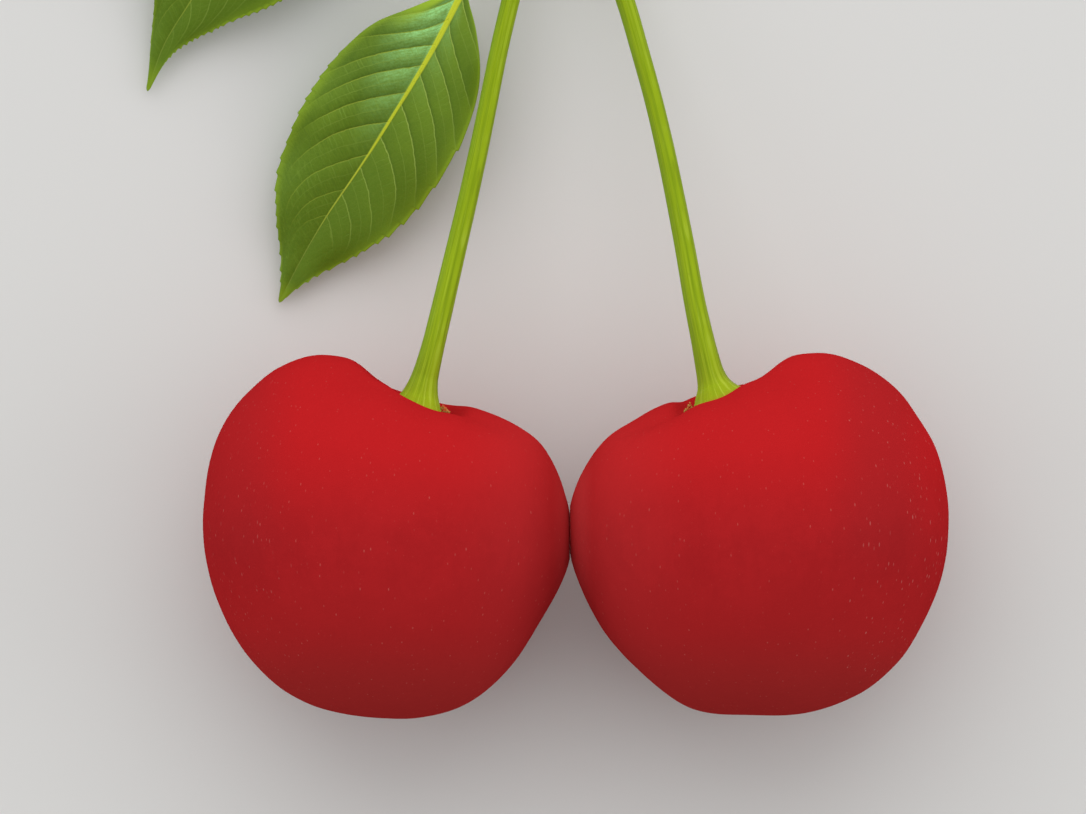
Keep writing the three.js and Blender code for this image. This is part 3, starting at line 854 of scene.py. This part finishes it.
# inner and outer are half widths from base to tip. A side vein is its start along the
# midrib and how far it has run forward at the margin, by its slope and by its curl.
# Teeth are the ways from one to the next, their height, and the parts of the leaf where
# they start and end. clear_on is how much longer than usual the veins stay plain.
LEAF_LOWER = {
    "petiole": [[0.9, 27.25, 2.3], [-1.15, 26.05, 2.6], [-2.7, 23.65, 2.9], [-3.95, 20.15, 3.2]],
    "midrib": [
        [-5.6, 15.65, 4], [-7.8, 11.35, 4.2], [-10, 7.65, 4.1], [-12.9, 3.1, 3.4], [-15.3, -0.4, 2.5],
        [-17.1, -3.45, 1.6], [-18.55, -6.25, 0.8],
    ],
    "inner": [0, 2, 3.7, 4.6, 4.9, 4.9, 4.6, 3.9, 2.7, 1.1, 0],
    "outer": [0, 2.1, 4.15, 5.1, 5.5, 5.5, 5.15, 4.4, 2.8, 1, 0],
    "inner_veins": [
        [0.75, 0.9, 2.8], [2.65, 4.3, 0.6], [4.9, 3.5, 2], [6.85, 4.2, 1.8], [9.25, 4.5, 1.6],
        [12, 3.5, 2.3], [14.6, 3.6, 1.4], [16.9, 2.9, 2.4], [18.75, 3, 1.6],
    ],
    "outer_veins": [
        [0.7, 2, 2.2], [2.65, 4, 0.5], [4.6, 3.3, 2.8], [6.25, 4, 3.4], [8.45, 4.7, 3],
        [10.85, 4.6, 5], [13.6, 5.8, 4.2], [16.5, 5.6, 3.5], [18.7, 4.2, 3], [21.05, 2.6, 2.5],
    ],
    "teeth": {
        "inner": ([2.7, 2.7, 2.6, 1.3, 0.9, 0.85], 0.21, 0.28, 1),
        "outer": ([0.9, 0.9, 1, 0.85, 0.8], 0.16, 0.28, 1),
    },
    "rows": 340,
    "columns": 68,
    "clear_on": 0,
    "clarity": 1,
    "seed": 3,
}
LEAF_UPPER = {
    "petiole": [[1.3, 28.5, 2.3], [-1.85, 30.2, 2.6], [-3.95, 31.2, 3]],
    "midrib": [
        [-6, 31.65, 4.2], [-10.15, 30.8, 5], [-14.3, 28.05, 5.3], [-18.05, 24.25, 5],
        [-21.55, 19.45, 4], [-24.6, 14.65, 2.6], [-26.5, 11.6, 1.5], [-27.7, 8.4, 0.8],
    ],
    "inner": [0, 3, 4.8, 6.2, 6.8, 7, 6.4, 4.9, 2.5, 0.75, 0],
    "outer": [0, 3, 4.8, 6.2, 6.9, 7, 6.4, 4.9, 2.6, 0.85, 0],
    "inner_veins": [
        [0.4, 1, 1.5], [1.8, 3.5, 1.5], [3.9, 5, 2], [6.3, 5.3, 2.4], [8.6, 5.6, 2.8], [11.2, 5.8, 3],
        [13.9, 5.9, 3.2], [16.6, 5.9, 3.2], [19.4, 5.6, 3.2], [22, 5, 3], [24.4, 4.2, 2.6],
        [26.7, 3.6, 2.2], [28.8, 2.8, 1.8],
    ],
    "outer_veins": [
        [0.3, 0.9, 1.3], [1.4, 3, 1.4], [3.2, 4.6, 2], [5.3, 5.1, 2.3], [7.7, 5.5, 2.7],
        [10.1, 5.7, 2.9], [12.8, 5.9, 3.1], [15.5, 5.9, 3.2], [18.2, 5.8, 3.2], [20.9, 5.2, 3],
        [23.4, 4.5, 2.7], [26, 3.6, 2.4],
    ],
    "teeth": {
        "inner": ([0.6, 0.5, 0.45], 0.24, 0.04, 0.96),
        "outer": ([0.8, 0.8], 0.05, 0.04, 0.96),
    },
    "rows": 420,
    "columns": 52,
    "clear_on": 0.1,
    "clarity": 0.65,
    "seed": 8,
}


def teeth(rows, row_length, pitches, height, start, end, random):
    """How far each row stands out: saw teeth that rise to the tip and then drop."""
    part = np.linspace(0, 1, rows + 1)
    lengths = evenly(pitches, part) / row_length
    heights = np.zeros(rows + 1)
    row = 0
    while row <= rows:
        count = max(3, round(lengths[row] * random.uniform(0.75, 1.25)))
        rise = height * random.uniform(0.6, 1.15)
        stretch = min(count, rows + 1 - row)
        heights[row : row + stretch] = rise * (np.arange(stretch) / count) ** 1.6
        row += count
    return heights * smooth(start, start + 0.1, part) * smooth(end, end - 0.08, part)


def vein_cells(veins, length, along, away):
    """A count of the side veins along the leaf. It is whole on each of them."""
    veins = np.array(veins, float)
    before = [[-6, *veins[0, 1:]]]
    beyond = [[length + 1, *veins[-1, 1:]]]
    crossings = [
        start + slope * away + curl * away**3
        for start, slope, curl in np.concatenate([before, veins, beyond])
    ]
    spans = zip(crossings[:-1], crossings[1:])
    return sum(np.clip((along - low) / (high - low), 0, 1) for low, high in spans)


def cell_gap(cell, points):
    """The way from one vein to the next, square to them, in mm."""
    ahead, over = np.gradient(points[..., :2], axis=(0, 1))
    a, b, c = (ahead**2).sum(-1), (ahead * over).sum(-1), (over**2).sum(-1)
    by_row, by_column = np.gradient(cell)
    steep = c * by_row**2 - 2 * b * by_row * by_column + a * by_column**2
    gap = np.sqrt((a * c - b**2) / np.maximum(steep, 1e-9))
    for _ in range(12):
        gap[1:-1] = (gap[:-2] + 2 * gap[1:-1] + gap[2:]) / 4
    return np.clip(gap, 0, 3)


def lay_out_blade(form):
    """The blade's grid of rows and columns. At each of its points, part runs from 0 at
    the base to 1 at the tip, and reach from -1 at the outer margin to 1 at the inner.
    along and across are the ways from the base and from the midrib, in mm."""
    rib = Path(form["midrib"])
    rows, half = form["rows"], form["columns"]
    random = np.random.default_rng(form["seed"])
    part = np.linspace(0, 1, rows + 1)[:, None]
    share = np.linspace(-1, 1, 2 * half + 1)[None, :]
    reach = np.sign(share) * np.abs(share) ** 1.2 + 0 * part
    part = part + 0 * share
    along, away, on_inner = part * rib.length, np.abs(reach), reach > 0
    tangent = rib.tangent(part)
    inward = unit(np.stack([-tangent[..., 1], tangent[..., 0], 0 * part], -1))
    rounded = np.sqrt(1 - 0.98 * np.clip((part - 0.99) / 0.01, 0, 1) ** 2)
    halves = []
    for side in ("inner", "outer"):
        width = (BLADE_END + evenly(form[side], part)) * rounded
        tooth = teeth(rows, rib.length / rows, *form["teeth"][side], random)[:, None]
        cell = vein_cells(form[side + "_veins"], rib.length, along, away)
        flat = rib.point(part) + inward * (width * reach)[..., None]
        halves.append([width, tooth, cell, cell_gap(cell, flat)])
    width, tooth, cell, gap = (np.where(on_inner, *pair) for pair in zip(*halves))
    return SimpleNamespace(
        rib=rib, part=part, reach=reach, away=away, along=along, across=width * away,
        on_inner=on_inner, inward=inward, width=width, tooth=tooth, cell=cell, gap=gap,
        vigour=1 - 0.9 * smooth(0.3, 0.78, part), rib_half=evenly(RIB_HALF_WIDTHS, part),
    )


def blade_lift(at):
    """The source's form: the blade rises beside the midrib and falls to a waved margin.
    base is where along the midrib the vein through each point starts."""
    base = at.part
    for _ in range(20):
        base = at.part - VEIN_SWEEP * np.sin(math.pi * base) * at.away
    wave = np.sin(2 * math.pi * WAVE_COUNT * base + at.reach) * np.sin(math.pi * base)
    lift = at.width * (BLADE_RISE * at.away - BLADE_FALL * at.away**2)
    return lift + WAVE_HEIGHT * wave * at.away**2


def blade_quilt(at):
    """The blade swells between its side veins, less on its inner side and near its tip."""
    pillow = np.abs(np.sin(math.pi * (at.cell % 1))) ** 0.6 - 0.75
    quilt = QUILT_HEIGHT * pillow * np.clip(at.gap / QUILT_GAP, 0, 1)
    quilt *= np.where(at.on_inner, INNER_QUILT, 1) * at.vigour
    return quilt * smooth(0, 0.9, at.across) * smooth(1.02, 0.5, at.away)


def blade_sides(at):
    """The points of the blade's upper side and of its lower side."""
    side_step = np.sign(at.reach) * (at.across + at.tooth * smooth(0.86, 1, at.away))
    top = at.rib.point(at.part) + at.inward * side_step[..., None]
    top[..., 2] += blade_lift(at) + blade_quilt(at)
    bottom = top.copy()
    ridge = 0.35 * at.rib_half * smooth(1.3, 0.2, at.across / at.rib_half)
    groove = 0.25 * at.rib_half * bell(at.across - 1.8 * at.rib_half, 0.6 * at.rib_half)
    top[..., 2] += ridge - groove

    radius = MIDRIB_RADIUS * (1 - MIDRIB_TAPER * np.clip(at.part / 0.93, 0, 1))
    radius *= smooth(0, 0.05, 1 - at.part)
    chord = np.sqrt(np.clip(radius**2 - side_step**2, 0, None))
    keel = chord + radius - MIDRIB_STAND * smooth(0, 0.2, radius)
    flesh = BLADE_THICKNESS * (1 - 0.55 * at.away**6) * (0.6 + 0.4 * smooth(0, 0.06, 1 - at.part))
    between = at.cell % 1
    veins = VEIN_HEIGHT * bell(np.minimum(between, 1 - between) * at.gap, VEIN_WIDTH)
    veins *= smooth(0.2, 0.6, at.across) * smooth(1, 0.8, at.away)
    bottom[..., 2] -= np.maximum(flesh + veins, np.where(chord > 0, keel, 0))
    return top, bottom


def blade_faces(rows, columns):
    """An upper sheet, a lower sheet, and a wall round their edges."""
    size = rows * columns
    index = np.arange(size).reshape(rows, columns)
    corners = [index[:-1, :-1], index[1:, :-1], index[1:, 1:], index[:-1, 1:]]
    upper = np.stack(corners, -1).reshape(-1, 4)
    lower = upper[:, ::-1] + size
    loop = np.concatenate([index[:, 0], index[-1, 1:], index[-2::-1, -1], index[0, -2:0:-1]])
    following = np.roll(loop, -1)
    wall = np.stack([loop, loop + size, following + size, following], -1)
    return np.concatenate([upper, lower, wall]).tolist()


def vein_clearness(at, form):
    """How plain the side veins are, which fade towards the tip and the margins."""
    faded = at.part - form["clear_on"]
    clear = 1 - 0.45 * smooth(0.45, 0.7, faded) - 0.55 * smooth(0.7, 0.84, faded)
    clear *= 1 - smooth(0.5, 1, at.away) * (0.7 + 0.3 * smooth(0.3, 0.7, at.part))
    outer_edge = smooth(0.7, 0.98, at.away) * smooth(0.35, 0.6, at.part)
    return clear * form["clarity"] * (1 - np.where(at.on_inner, 0, outer_edge))


def blade_sheen(at):
    """The painted pale sheen near the base, which reaches far over the outer side."""
    reach = np.maximum(1.25 - 1.75 * at.part, 0.05)
    outer = smooth(1.05, 0.35, at.away / reach) * smooth(0.6, 0.15, at.part)
    outer *= 0.9 + 0.6 * smooth(0.24, 0.1, at.part)
    inner = 0.4 * smooth(0.5, 0.1, at.away) * smooth(0.4, 0.08, at.part)
    return np.where(at.on_inner, inner, outer)


def blade_margin(at):
    """The paler green along the margins and at the tip."""
    outer = smooth(0.22, 0.06, at.part) * smooth(0.55, 0.8, at.away)
    outer = np.maximum(outer, 0.42 * smooth(0.86, 1, at.away))
    inner = 0.25 * smooth(0.75, 1, at.away) + 0.5 * smooth(0.93, 0.98, at.away)
    return np.maximum(np.where(at.on_inner, inner, outer), 0.6 * smooth(0.92, 0.99, at.part))


def blade_masks(at, form):
    inner_run = 0.48 * at.along + 0.86 * at.across
    outer_run = 0.84 * at.along + 0.54 * at.across
    rib = smooth(1.2, 0.8, at.across / at.rib_half) * smooth(0.99, 0.93, at.part)
    # painted shade over the outer half, some way up from the base
    outer_shade = smooth(0.14, 0.24, at.part) * smooth(0.5, 0.36, at.part) * smooth(0.2, 0.5, at.away)
    return {
        "cell": at.cell,
        "gap": at.gap,
        "reach": at.reach,
        "run": np.where(at.on_inner, inner_run, outer_run),
        "vigour": at.vigour,
        "clear": vein_clearness(at, form),
        "rib": rib * (1 - 0.7 * smooth(0.55, 0.9, at.part)),
        "painted_sheen": blade_sheen(at),
        "outer_shade": np.where(at.on_inner, 0, outer_shade),
        "pale": blade_margin(at),
    }


def petiole_stations(form, rib):
    """The petiole runs on under the blade's base and thins out in the midrib."""
    stations = [[*place, PETIOLE_RADIUS] for place in form["petiole"]]
    for part, grip, rise in PETIOLE_GRIPS:
        x, y, z = rib.point(part)
        radius = MIDRIB_RADIUS * grip
        stations.append([x, y, z + rise - radius, radius])
    return stations


def petiole_channel(u, angle):
    """A shallow groove along the petiole's upper side, where the angle is 0."""
    from_top = np.minimum(angle, 2 * math.pi - angle)
    return 1 - CHANNEL_DEPTH * bell(from_top, CHANNEL_WIDTH)


def build_leaf(name, form, skin):
    at = lay_out_blade(form)
    points = np.concatenate([side.reshape(-1, 3) for side in blade_sides(at)])
    faces = blade_faces(*at.part.shape)
    masks = {key: np.tile(values.ravel(), 2) for key, values in blade_masks(at, form).items()}
    masks["upper"] = np.repeat([1.0, 0.0], at.part.size)
    stations = petiole_stations(form, at.rib)
    rings, _, _, _ = rod_rings(stations, PETIOLE_STEPS, PETIOLE_SIDES, petiole_channel)
    points, faces = add_part(points, faces, masks, tube(rings), PETIOLE_MASKS)
    place_piece(name + "_blade", name, points, faces, masks, skin)


# --- Spur ---

SPUR_PATH = [[0.95, 24.95, 2.2], [1.2, 27.5, 2], [1.45, 29.9, 1.9], [1.75, 32.35, 1.85]]
SPUR_RADII = [1.65, 2.15, 1.95, 2.05, 1.85, 1.95, 1.8, 1.9, 1.75]
SPUR_ROWS = 240
SPUR_SIDES = 96
SPUR_SOFTNESS = 0.08
RING_COUNT = 14
RING_DEPTH = 0.11
BARK_LUMPS = 0.12
BARK_GRAIN = 0.05
CUT_BEVEL = 0.1

SCALE_ANGLES = [0.5, 1.35, 2.2]
SCALE_ROWS = 25
SCALE_SIDES = 24
SCALE_LENGTH = 1.9
SCALE_WIDTH = 0.75
SCALE_THICKNESS = 0.16
SCALE_CUP = 0.45
SCALE_CURL = 0.18
SCALE_ROOT = 0.6
SCALE_SINK = 0.2
SCALE_LEAN = 0.2


def bark_rings(part, angle):
    """How deep the grooves are between the uneven rings of the bark, from 0 to 1."""
    step = part[:, None]
    phase = step * RING_COUNT + 0.35 * np.sin(2 * angle) * np.sin(9 * step)
    phase = phase + 0.3 * np.sin(angle + 7 * step) + 0.2 * np.sin(3 * angle - 13 * step)
    phase = phase + 0.5 * np.sin(5 * step)
    return 1 - np.abs(np.sin(math.pi * phase)) ** 0.5


def build_spur(skin):
    path = Path(SPUR_PATH)
    part = np.linspace(0, 1, SPUR_ROWS + 1)
    angle = full_turn(SPUR_SIDES)
    ring = bark_rings(part, angle)
    depth = RING_DEPTH + 0.05 * np.sin(17 * part)
    mouth = 0.88 + 0.12 * smooth(0, 0.012, part)
    cut = 1 - CUT_BEVEL * smooth(0.985, 1, part)
    reach = evenly(SPUR_RADII, part)[:, None] + depth[:, None] * (1 - ring) - 0.05
    reach *= (mouth * cut)[:, None]
    points, faces = tube(rings_round(path.point(part), path.tangent(part), reach, angle))
    row = np.append(np.repeat(part, SPUR_SIDES), [0, 1])
    rough = noise_at(points, 0.9, 2) * BARK_LUMPS + noise_at(points, 3.0, 3) * BARK_GRAIN
    rough *= smooth(0, 0.05, row) * smooth(1, 0.97, row)
    points = points + normals_of(points, faces) * rough[:, None]
    rest_on_floor(points, SPUR_SOFTNESS)
    masks = {
        "ring": np.append(ring.ravel(), [0, 0]),
        "wood": smooth(0.992, 0.999, row),
        "heart": np.append(np.ones(len(points) - 1), 0),
        "scale": np.zeros(len(points)),
    }
    for turn in SCALE_ANGLES:
        points, faces = add_part(points, faces, masks, bud_scale(turn), {"scale": 1.0})
    place_piece("spur_bark", "spur", points, faces, masks, skin)


def bud_scale(turn):
    """A pointed, cupped scale that stands at the mouth, sunk into it by its root."""
    length = np.linspace(0, 1, SCALE_ROWS)[:, None]
    angle = full_turn(SCALE_SIDES)
    width = SCALE_WIDTH * np.sqrt(np.clip(1 - length**2.2, 0, 1)) + 0.02
    x = width * np.sin(angle)
    y = SCALE_ROOT - length * SCALE_LENGTH + 0 * angle
    z = SCALE_THICKNESS * np.cos(angle) * (1 - 0.7 * length) + SCALE_CURL * length**2
    z = z - SCALE_CUP * (x / SCALE_WIDTH) ** 2 * SCALE_WIDTH
    c, s = math.cos(SCALE_LEAN), math.sin(SCALE_LEAN)
    y, z = y * c - z * s, z * c - y * s + SPUR_RADII[0] - SCALE_SINK
    tilt = math.pi / 2 - turn
    c, s = math.cos(tilt), math.sin(tilt)
    points, faces = tube(np.stack([x * c + z * s, y, z * c - x * s], -1))
    return points + np.array(SPUR_PATH[0]), faces


# --- The cluster ---

build_cherry("cherry_left", CHERRY_LEFT)
build_cherry("cherry_right", CHERRY_RIGHT)
stalk_material = stalk_skin()
for seed, (stem, stations) in enumerate(STALKS.items()):
    build_stalk(stem, stations, stalk_material, seed)
leaf_material = leaf_skin()
build_leaf("leaf_lower", LEAF_LOWER, leaf_material)
build_leaf("leaf_upper", LEAF_UPPER, leaf_material)
build_spur(spur_skin())

# --- Floor, light and camera ---

FLOOR_REACH = 3000
FLOOR_GREY = srgb(214, 214, 212)

# Each light's name, place, size and power, in metres and watts.
LIGHTS = [
    ["key", (-0.05, 0.5, 0.5), 0.9, 1.4],
    ["left", (-0.5, 0.0, 0.25), 0.4, 0.27],
    ["right", (0.5, 0.0, 0.25), 0.4, 0.35],
]
LIGHT_AIM = (0, -0.01, 0.008)
ROOM_GLOW = [0.26, 1.34]  # on the fruits' side and on the spur's side

CAMERA_AIM = [-0.27, -13.5, 11.5]
CAMERA_HEIGHT = 900  # above what it looks at
FRAME_WIDTH = 74.39  # seen there
SENSOR_WIDTH = 36


def lay_floor():
    mesh = bpy.data.meshes.new("floor")
    reach = FLOOR_REACH * MM
    corners = [(-reach, -reach, 0), (reach, -reach, 0), (reach, reach, 0), (-reach, reach, 0)]
    mesh.from_pydata(corners, [], [[0, 1, 2, 3]])
    looks = {"Base_Color": FLOOR_GREY, "Roughness": 1.0, "Specular_IOR_Level": 0.0}
    mesh.materials.append(Shade("floor").finish(**looks))
    floor = add_object("floor", mesh)


def soft_light(name, place, size, power):
    data = bpy.data.lights.new(name, "AREA")
    data.shape = "DISK"
    data.size = size
    data.energy = power
    lamp = add_object(name, data)
    lamp.location = place
    aim = Vector(LIGHT_AIM) - Vector(place)
    lamp.rotation_euler = aim.to_track_quat("-Z", "Y").to_euler()


def light_room():
    """White all round, and brighter towards the spur than towards the fruits."""
    world = bpy.data.worlds.new("studio")
    world.use_nodes = True
    nodes, links = world.node_tree.nodes, world.node_tree.links
    direction = nodes.new("ShaderNodeTexCoord").outputs["Generated"]
    axes = nodes.new("ShaderNodeSeparateXYZ")
    glow = nodes.new("ShaderNodeMapRange")
    for name, value in zip(("From Min", "From Max", "To Min", "To Max"), (-1, 1, *ROOM_GLOW)):
        glow.inputs[name].default_value = value
    links.new(direction, axes.inputs[0])
    links.new(axes.outputs["Y"], glow.inputs["Value"])
    links.new(glow.outputs[0], nodes["Background"].inputs["Strength"])
    nodes["Background"].inputs["Color"].default_value = (1, 1, 1, 1)
    bpy.context.scene.world = world
    bpy.context.scene.view_settings.view_transform = "Standard"


def place_camera():
    data = bpy.data.cameras.new("camera")
    data.sensor_width = SENSOR_WIDTH
    data.lens = SENSOR_WIDTH * CAMERA_HEIGHT / FRAME_WIDTH
    camera = add_object("camera", data)
    camera.location = (Vector(CAMERA_AIM) + Vector((0, 0, CAMERA_HEIGHT))) * MM
    bpy.context.scene.camera = camera


lay_floor()
for light in LIGHTS:
    soft_light(*light)
light_room()
place_camera()
